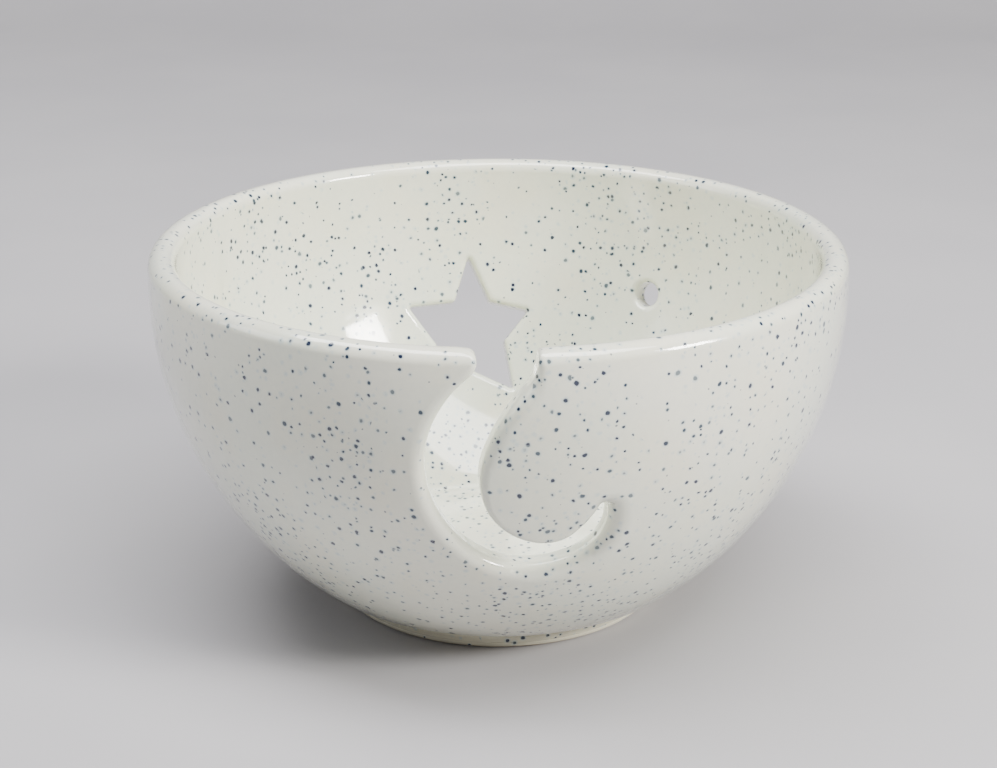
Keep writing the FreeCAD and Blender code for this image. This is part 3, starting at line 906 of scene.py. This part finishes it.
skin = bmesh.new()
corners = [skin.verts.new(point) for point in skin_points]
for ids in skin_faces:
    skin.faces.new([corners[index] for index in ids])
bmesh.ops.bisect_plane(skin, geom=skin.verts[:] + skin.edges[:] + skin.faces[:], dist=1e-3,
                       plane_co=(0, 0, RIM_BOTTOM), plane_no=(0, 0, 1))
on_plane = [corner for corner in skin.verts if abs(corner.co.z - RIM_BOTTOM) < 2e-3]
bmesh.ops.remove_doubles(skin, verts=on_plane, dist=0.05)
skin.verts.index_update()
parted_points = np.array([corner.co[:] for corner in skin.verts])
parted_points[abs(parted_points[:, 2] - RIM_BOTTOM) < 2e-3, 2] = RIM_BOTTOM
parted_faces = [tuple(corner.index for corner in face.verts) for face in skin.faces]
skin.free()

UP, DOWN = (0.0, 0.0, 1.0), (0.0, 0.0, -1.0)
highest = [parted_points[list(ids), 2].max() for ids in parted_faces]
rim_faces = [ids for ids, high in zip(parted_faces, highest) if high > RIM_BOTTOM]
wall_faces = [ids for ids, high in zip(parted_faces, highest) if high <= RIM_BOTTOM]
rim_cap = cap(parted_points, open_sides(rim_faces), False)
glazed_rim = make_piece("glazed_rim", parted_points, rim_faces, [(rim_cap, DOWN)])
wall_sides = open_sides(wall_faces)
top_sides = [side for side in wall_sides if parted_points[side[0], 2] > TOTAL_HEIGHT / 2]
bottom_sides = [side for side in wall_sides if parted_points[side[0], 2] < TOTAL_HEIGHT / 2]
glazed_wall = make_piece("glazed_wall", parted_points, wall_faces, [
    (cap(parted_points, top_sides, True), UP),
    (cap(parted_points, bottom_sides, False), DOWN),
])


# %% [markdown]
# ## The floor and the foot
#
# Both are plain turned forms, so their patterns are even grids and the wheel tree does the rest. The floor
# carries the belly's curve down to the crease above the foot. Under the bowl it is hollowed by 3 mm inside
# the foot ring, so that the pot stands on a narrow ring and doesn't rock. The foot's side flares up to the
# crease, with the fine lines that a turning tool leaves on a spinning pot. The face that it stands on is
# wiped free of glaze, or the pot would stick to the kiln shelf, so it is a thin ring of bare clay.

# %% Turn the floor, the foot and the standing face
FOOT_HEIGHT = 7.2
FOOT_INNER = 33.0
RECESS_DEPTH = 3.0
BARE_HEIGHT = 0.35
TURNED_COLUMNS = 240
CREASE_ANGLE = math.radians(25)


def circle_r(centre, radius, heights):
    return centre[0] + np.sqrt(radius ** 2 - (heights - centre[1]) ** 2)


def arc_points(centre, radius, start, end, spacing=1.0):
    count = max(3, round(abs(math.radians(end - start)) * radius / spacing))
    turns = np.radians(np.linspace(start, end, count))
    return [(centre[0] + radius * math.cos(turn), centre[1] + radius * math.sin(turn)) for turn in turns]


def straight(start, end, spacing=1.5):
    gap = math.dist(start, end)
    count = max(1, round(gap / spacing))
    return [(start[0] + (end[0] - start[0]) * step / count, start[1] + (end[1] - start[1]) * step / count)
            for step in range(count)]


def lathe(name, section, columns=TURNED_COLUMNS):
    """A closed turned piece. The section runs so that the clay is on its left, and may touch the axis."""
    section = [np.array(point, float) for point in section]
    touches_axis = section[0][0] < 1e-9 and section[-1][0] < 1e-9
    if not touches_axis:
        section.append(section[0])
    runs = np.concatenate([[0], np.cumsum([np.linalg.norm(b - a) for a, b in zip(section, section[1:])])])
    rows = len(section) if touches_axis else len(section) - 1
    column_width = 2 * math.pi * UNROLL_RADIUS / columns
    flat = [(column * column_width, run) for column in range(columns) for run in runs[:rows]]
    faces = []
    for column in range(columns):
        here, beside = column * rows, (column + 1) % columns * rows
        for row in range(len(section) - 1):
            after = (row + 1) % rows
            faces.append((here + row, beside + row, beside + after, here + after))
    mesh = turn(name, flat, faces, section)
    mesh.shade_smooth()
    mesh.set_sharp_from_angle(angle=CREASE_ANGLE)
    piece = bpy.data.objects.new(name, mesh)
    bpy.context.scene.collection.objects.link(piece)
    print(name, "has", len(mesh.polygons), "faces")
    return piece


under_heights = np.linspace(FOOT_HEIGHT, WALL_BOTTOM, 9)
under_side = list(zip(circle_r(under_centre, UNDER_ARC, under_heights), under_heights))
fillet_z = FLOOR_TOP + FLOOR_FILLET
centre_gap = INNER_ARC - FLOOR_FILLET
fillet_r = inner_centre[0] + math.sqrt(centre_gap ** 2 - (WIDEST_HEIGHT - fillet_z) ** 2)
touch_angle = math.degrees(math.atan2(fillet_z - WIDEST_HEIGHT, fillet_r - inner_centre[0]))
touch_z = fillet_z + FLOOR_FILLET * math.sin(math.radians(touch_angle))
split_r = float(circle_r(inner_centre, INNER_ARC, WALL_BOTTOM))
if touch_z < WALL_BOTTOM:
    split_angle = math.degrees(math.atan2(WALL_BOTTOM - WIDEST_HEIGHT, split_r - inner_centre[0]))
    inside = arc_points(inner_centre, INNER_ARC, split_angle, touch_angle)[:-1]
else:
    raise ValueError("the floor's fillet reaches above the wall's bottom")
inside += arc_points((fillet_r, fillet_z), FLOOR_FILLET, touch_angle, -90)
inside += straight((fillet_r, FLOOR_TOP), (0, FLOOR_TOP), 3.0)[1:] + [(0.0, FLOOR_TOP)]
floor_section = straight((0.0, RECESS_DEPTH), (FOOT_INNER, RECESS_DEPTH), 3.0)
floor_section += [(FOOT_INNER, RECESS_DEPTH), (FOOT_INNER, FOOT_HEIGHT)]
floor_section += straight((FOOT_INNER, FOOT_HEIGHT), under_side[0], 3.0)[1:] + under_side
floor_section += straight(under_side[-1], inside[0], 2.0)[1:] + inside
glazed_floor = lathe("glazed_floor", floor_section)

FOOT_SIDE_RADIUS = 39.6
FOOT_LEAN = 1.6
FOOT_FLARE = 3.1
FLARE_START, FLARE_END = 4.6, 7.6
TOOL_LINES = [1.5, 3.3, 4.7, 5.8]
TOOL_LINE_SIZE = 0.13
foot_heights = np.linspace(BARE_HEIGHT + 0.5, FOOT_HEIGHT, 64)
foot_side = []
for height in foot_heights:
    flare = FOOT_FLARE * ease(height, FLARE_START, FLARE_END)
    lean = FOOT_SIDE_RADIUS + FOOT_LEAN * (height - 0.8) / 6 + flare
    groove = sum(TOOL_LINE_SIZE * math.exp(-((height - line) / TOOL_LINE_SIZE) ** 2) for line in TOOL_LINES)
    foot_side.append((lean - groove, height))
foot_section = [(33.5, BARE_HEIGHT), (39.0, BARE_HEIGHT)]
foot_section += arc_points((39.0, BARE_HEIGHT + 0.6), 0.6, -75, -10, 0.12) + foot_side
foot_section += straight(foot_side[-1], (FOOT_INNER, FOOT_HEIGHT), 3.0)[1:]
foot_section += straight((FOOT_INNER, FOOT_HEIGHT), (FOOT_INNER, BARE_HEIGHT + 0.5), 1.0)
foot_section += [(FOOT_INNER + 0.06, BARE_HEIGHT + 0.22)]
glazed_foot = lathe("glazed_foot", foot_section)

bare_section = [(34.1, 0.0), (38.4, 0.0), (38.85, 0.1),
                (39.05, BARE_HEIGHT), (33.45, BARE_HEIGHT), (33.65, 0.1)]
standing_face = lathe("standing_face", bare_section)


# %% [markdown]
# ## The glaze and the bare clay
#
# The glaze is an off-white that leans to green where it lies thick and to cream where it lies thin. Dark
# blue grains were stirred into it. Each grain melts into a small round spot with a bluish edge, and the
# deeper it lies the paler it shows. A 3-D Voronoi pattern gives exactly that: its cells are the grains, a
# random number per cell says whether there is a grain and how large, and the surface slices through them,
# so the spots come out in all sizes. A second, finer pattern adds the faint grains. On the foot the glaze
# is painted darker and warmer, as painted shade and painted warm light bounced up from the floor.

# %% Materials
class Shader:
    """Short calls for building one material."""

    def __init__(self, name):
        self.material = bpy.data.materials.new(name)
        self.material.use_nodes = True
        self.nodes, self.links = self.material.node_tree.nodes, self.material.node_tree.links
        self.surface = self.nodes["Principled BSDF"]
        self.place = self.nodes.new("ShaderNodeTexCoord").outputs["Object"]

    def node(self, kind, inputs=None, **settings):
        made = self.nodes.new(kind)
        for key, value in settings.items():
            setattr(made, key, value)
        for key, value in (inputs or {}).items():
            if isinstance(value, bpy.types.NodeSocket):
                self.links.new(value, made.inputs[key])
            else:
                made.inputs[key].default_value = value
        return made

    def math(self, operation, first, second=0.0):
        return self.node("ShaderNodeMath", {0: first, 1: second}, operation=operation).outputs[0]

    def noise(self, scale, detail=2.0):
        inputs = {"Vector": self.place, "Scale": scale, "Detail": detail}
        return self.node("ShaderNodeTexNoise", inputs).outputs["Fac"]

    def span(self, value, low, high, to_low=0.0, to_high=1.0, smooth=True):
        inputs = {"Value": value, "From Min": low, "From Max": high, "To Min": to_low, "To Max": to_high}
        kind = "SMOOTHSTEP" if smooth else "LINEAR"
        return self.node("ShaderNodeMapRange", inputs, interpolation_type=kind).outputs[0]

    def mix(self, share, first, second):
        made = self.node("ShaderNodeMix", data_type="RGBA")
        for key, value in (("Factor", share), ("A", first), ("B", second)):
            socket = next(item for item in made.inputs if item.name == key and item.enabled)
            if isinstance(value, bpy.types.NodeSocket):
                self.links.new(value, socket)
            else:
                socket.default_value = value
        return next(item for item in made.outputs if item.enabled)

    def finish(self, **inputs):
        for key, value in inputs.items():
            socket = self.surface.inputs[key.replace("_", " ")]
            if isinstance(value, bpy.types.NodeSocket):
                self.links.new(value, socket)
            else:
                socket.default_value = value
        return self.material


def grains(shader, cell_mm, presence, smallest_mm, largest_mm, clustering):
    """Distance into each grain's spot, as (dark core, soft halo, random number per grain)."""
    wobble = shader.node("ShaderNodeTexNoise", {"Vector": shader.place, "Scale": 900.0, "Detail": 1.0})
    drift = shader.node("ShaderNodeVectorMath", {0: wobble.outputs["Color"], 1: (0.5, 0.5, 0.5)},
                        operation="SUBTRACT")
    push = shader.node("ShaderNodeVectorMath", {0: drift.outputs[0], "Scale": 0.0005}, operation="SCALE")
    moved = shader.node("ShaderNodeVectorMath", {0: shader.place, 1: push.outputs[0]}, operation="ADD")
    cells = shader.node("ShaderNodeTexVoronoi",
                        {"Vector": moved.outputs[0], "Scale": 1 / (cell_mm * MM), "Randomness": 1.0},
                        voronoi_dimensions="3D", feature="F1")
    parts = shader.node("ShaderNodeSeparateColor", {"Color": cells.outputs["Color"]})
    away_mm = shader.math("MULTIPLY", cells.outputs["Distance"], cell_mm)
    clump = shader.span(shader.noise(38.0, 2.0), 0.35, 0.65, presence - clustering, presence + clustering)
    exists = shader.math("LESS_THAN", parts.outputs["Red"], clump)
    mostly_small = shader.math("POWER", parts.outputs["Green"], 1.8)
    size = shader.span(mostly_small, 0, 1, smallest_mm, largest_mm, smooth=False)
    core = shader.span(shader.math("DIVIDE", away_mm, size), 1.0, 0.62)
    halo = shader.span(shader.math("DIVIDE", away_mm, size), 1.75, 0.8)
    core, halo = (shader.math("MULTIPLY", spot, exists) for spot in (core, halo))
    return core, halo, parts.outputs["Blue"]


def make_glaze():
    shader = Shader("speckled_glaze")
    cream, white, green = (0.87, 0.83, 0.63, 1), (0.86, 0.855, 0.71, 1), (0.79, 0.82, 0.68, 1)
    cloud = shader.span(shader.noise(24.0, 3.0), 0.3, 0.7)
    body = shader.mix(cloud, white, green)
    thin = shader.span(shader.noise(60.0, 2.0), 0.45, 0.75, 0.0, 0.45)
    body = shader.mix(thin, body, cream)
    x, y, z = shader.node("ShaderNodeSeparateXYZ", {0: shader.place}).outputs
    # painted shade and painted floor bounce: the foot's side is darkened and warmed towards beige
    foot_painted_shade = shader.span(z, 0.0052, 0.0078, 0.62, 0.0)
    body = shader.mix(foot_painted_shade, body, (0.70, 0.63, 0.45, 1))
    fine = shader.span(shader.noise(700.0, 3.0), 0.25, 0.75, 0.0, 1.0)
    body = shader.mix(fine, shader.mix(0.06, body, (0.3, 0.32, 0.33, 1)), body)
    core, halo, tone = grains(shader, cell_mm=1.8, presence=0.62, smallest_mm=0.33, largest_mm=0.70,
                              clustering=0.36)
    small_core = grains(shader, cell_mm=1.4, presence=0.15, smallest_mm=0.15, largest_mm=0.32,
                        clustering=0.10)[0]
    navy = shader.mix(tone, (0.006, 0.011, 0.045, 1), (0.010, 0.040, 0.066, 1))
    body = shader.mix(shader.math("MULTIPLY", halo, 0.40), body, (0.36, 0.52, 0.60, 1))
    depth = shader.span(tone, 0.6, 0.98, 1.0, 0.78)
    body = shader.mix(shader.math("MULTIPLY", core, depth), body, navy)
    body = shader.mix(shader.math("MULTIPLY", small_core, 0.75), body, (0.06, 0.09, 0.13, 1))
    roughness = shader.span(shader.noise(180.0, 2.0), 0.3, 0.7, 0.10, 0.19)
    roughness = shader.math("ADD", roughness, shader.math("MULTIPLY", core, 0.08))
    rings = shader.math("SINE", shader.math("ADD", shader.math("MULTIPLY", z, 1150.0),
                                            shader.math("MULTIPLY", shader.noise(14.0), 5.0)))
    waves = shader.math("ADD", shader.math("MULTIPLY", rings, 0.035), shader.noise(55.0, 1.0))
    ripple = shader.node("ShaderNodeBump", {"Strength": 0.35, "Distance": 0.0006, "Height": waves})
    skin_height = shader.math("ADD", shader.noise(900.0, 2.0), shader.math("MULTIPLY", core, -0.6))
    peel = shader.node("ShaderNodeBump", {"Strength": 0.12, "Distance": 0.00012, "Height": skin_height,
                                          "Normal": ripple.outputs[0]})
    return shader.finish(Base_Color=body, Roughness=roughness, Normal=peel.outputs[0], Specular_IOR_Level=0.5,
                         Coat_Weight=0.9, Coat_Roughness=0.045)


def make_bare_clay():
    shader = Shader("bare_clay")
    brown, buff = (0.58, 0.46, 0.33, 1), (0.68, 0.57, 0.43, 1)
    body = shader.mix(shader.span(shader.noise(90.0, 4.0), 0.3, 0.7), brown, buff)
    grog = shader.span(shader.noise(1500.0, 2.0), 0.60, 0.72)
    body = shader.mix(shader.math("MULTIPLY", grog, 0.5), body, (0.30, 0.20, 0.13, 1))
    grain = shader.noise(1800.0, 4.0)
    bump = shader.node("ShaderNodeBump", {"Strength": 0.5, "Distance": 0.0002, "Height": grain})
    roughness = shader.span(shader.noise(300.0, 2.0), 0.3, 0.7, 0.78, 0.92)
    return shader.finish(Base_Color=body, Roughness=roughness, Normal=bump.outputs[0])


glaze, bare_clay = make_glaze(), make_bare_clay()
glazed_pieces = [glazed_rim, glazed_wall, glazed_floor, glazed_foot]
for piece in glazed_pieces:
    piece.data.materials.clear()
    piece.data.materials.append(glaze)
standing_face.data.materials.clear()
standing_face.data.materials.append(bare_clay)
print("glaze:", len(glaze.node_tree.nodes), "nodes")


# %% [markdown]
# ## Handing the pieces to the frame
#
# Each visual piece rides on the pot's one body, and the imported zone that it takes the place of is
# hidden. The standing face takes the place of part of the foot ring too.

# %% Tie the pieces to the imported design
for piece, node, slot in (
    (glazed_rim, "rim", "speckled_glaze"),
    (glazed_wall, "bowl_wall", "speckled_glaze"),
    (glazed_floor, "bowl_floor", "speckled_glaze"),
    (glazed_foot, "foot_ring", "speckled_glaze"),
    (standing_face, "foot_ring", "bare_clay"),
):
    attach(piece, "root")
    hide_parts(node)


# %% [markdown]
# ## Floor, light and camera
#
# The pot stands on a plain pale sweep. A window-sized soft box in front and to the right is the key light,
# a wide one hangs overhead and a dim one fills the left. Glossy glaze shows them as clean bright shapes,
# so their places matter as much as their strength.

# %% The sweep
FLOOR_HALF = 1.6
SWEEP_BACK = 1.1
SWEEP_RADIUS = 0.35


def make_sweep():
    profile = [(-FLOOR_HALF, 0.0), (SWEEP_BACK - SWEEP_RADIUS, 0.0)]
    for step in range(1, 25):
        turn_angle = math.pi / 2 * step / 24
        profile.append((SWEEP_BACK - SWEEP_RADIUS + SWEEP_RADIUS * math.sin(turn_angle),
                        SWEEP_RADIUS * (1 - math.cos(turn_angle))))
    profile.append((SWEEP_BACK, 1.8))
    points = [(side * FLOOR_HALF * 1.4, y, z) for y, z in profile for side in (-1, 1)]
    faces = [(2 * row, 2 * row + 1, 2 * row + 3, 2 * row + 2) for row in range(len(profile) - 1)]
    mesh = bpy.data.meshes.new("sweep")
    mesh.from_pydata(points, [], faces)
    mesh.shade_smooth()
    sweep = bpy.data.objects.new("sweep", mesh)
    bpy.context.scene.collection.objects.link(sweep)
    shader = Shader("sweep_paper")
    dim, pale = (0.385, 0.376, 0.390, 1), (0.41, 0.40, 0.41, 1)
    tone = shader.mix(shader.span(shader.noise(9.0, 3.0), 0.3, 0.7), dim, pale)
    mesh.materials.append(shader.finish(Base_Color=tone, Roughness=0.75))
    return sweep


make_sweep()


# %% Soft boxes and the room's glow
def soft_box(name, place, aim, width, height, watts, colour):
    data = bpy.data.lights.new(name, "AREA")
    data.shape, data.size, data.size_y = "RECTANGLE", width, height
    data.energy, data.color = watts, colour
    lamp = bpy.data.objects.new(name, data)
    bpy.context.scene.collection.objects.link(lamp)
    lamp.location = place
    lamp.rotation_euler = (Vector(aim) - Vector(place)).to_track_quat("-Z", "Y").to_euler()
    return lamp


POT_MIDDLE = (0.0, 0.0, 0.05)
soft_box("key_light", (0.90, -0.46, 0.60), POT_MIDDLE, 0.30, 0.27, 21.5, (1.0, 0.975, 0.935))
soft_box("fill_light", (-1.0, -0.10, 0.60), POT_MIDDLE, 0.5, 0.5, 2.3, (0.93, 0.96, 1.0))
soft_box("top_light", (-0.05, -0.10, 1.15), POT_MIDDLE, 1.5, 0.5, 32.0, (0.99, 0.985, 1.0))
world = bpy.data.worlds.new("room")
world.use_nodes = True
world.node_tree.nodes["Background"].inputs["Color"].default_value = (0.88, 0.90, 1.0, 1)
world.node_tree.nodes["Background"].inputs["Strength"].default_value = 0.19
bpy.context.scene.world = world


# %% The camera
CAMERA_PLACE = (0.0, -0.4553, 0.2194)
CAMERA_PITCH = math.radians(69.74)
CAMERA_LENS = 71.96
lens = bpy.data.cameras.new("camera")
lens.lens, lens.sensor_width = CAMERA_LENS, 36.0
lens.clip_start = 0.01
camera = bpy.data.objects.new("camera", lens)
camera.location = CAMERA_PLACE
camera.rotation_euler = (CAMERA_PITCH, 0.0, 0.0)
bpy.context.scene.collection.objects.link(camera)
bpy.context.scene.camera = camera
